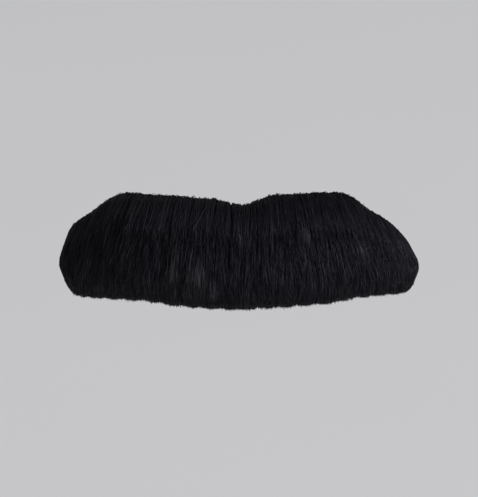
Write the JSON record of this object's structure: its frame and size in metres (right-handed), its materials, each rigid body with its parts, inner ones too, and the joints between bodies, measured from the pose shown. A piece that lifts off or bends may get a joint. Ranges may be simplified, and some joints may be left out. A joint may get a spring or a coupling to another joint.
{
  "type": "fake moustache",
  "caption": "Short, blunt stick-on moustache of dense black combed hair, rooted in a thin cloth base with an adhesive back, in the curve of a wearer's upper lip.",
  "frame": {"origin": "the middle of the tape's skin side, where the moustache sticks to the upper lip", "axes": "+X along the lip, +Y towards the wearer, +Z the wearer's up; the hair faces -Y"},
  "size_m": [0.055, 0.0149, 0.0175],
  "materials": {
    "hair": "fine black synthetic hair, combed, with a soft sheen along the strands",
    "base_cloth": "matte black plain-woven cloth",
    "tape": "smooth off-white double-sided tape with a slight gloss"
  },
  "bodies": {
    "root": {"hair_pile": "hair", "cloth_base": "base_cloth", "adhesive_tape": "tape"}
  },
  "joints": []
}
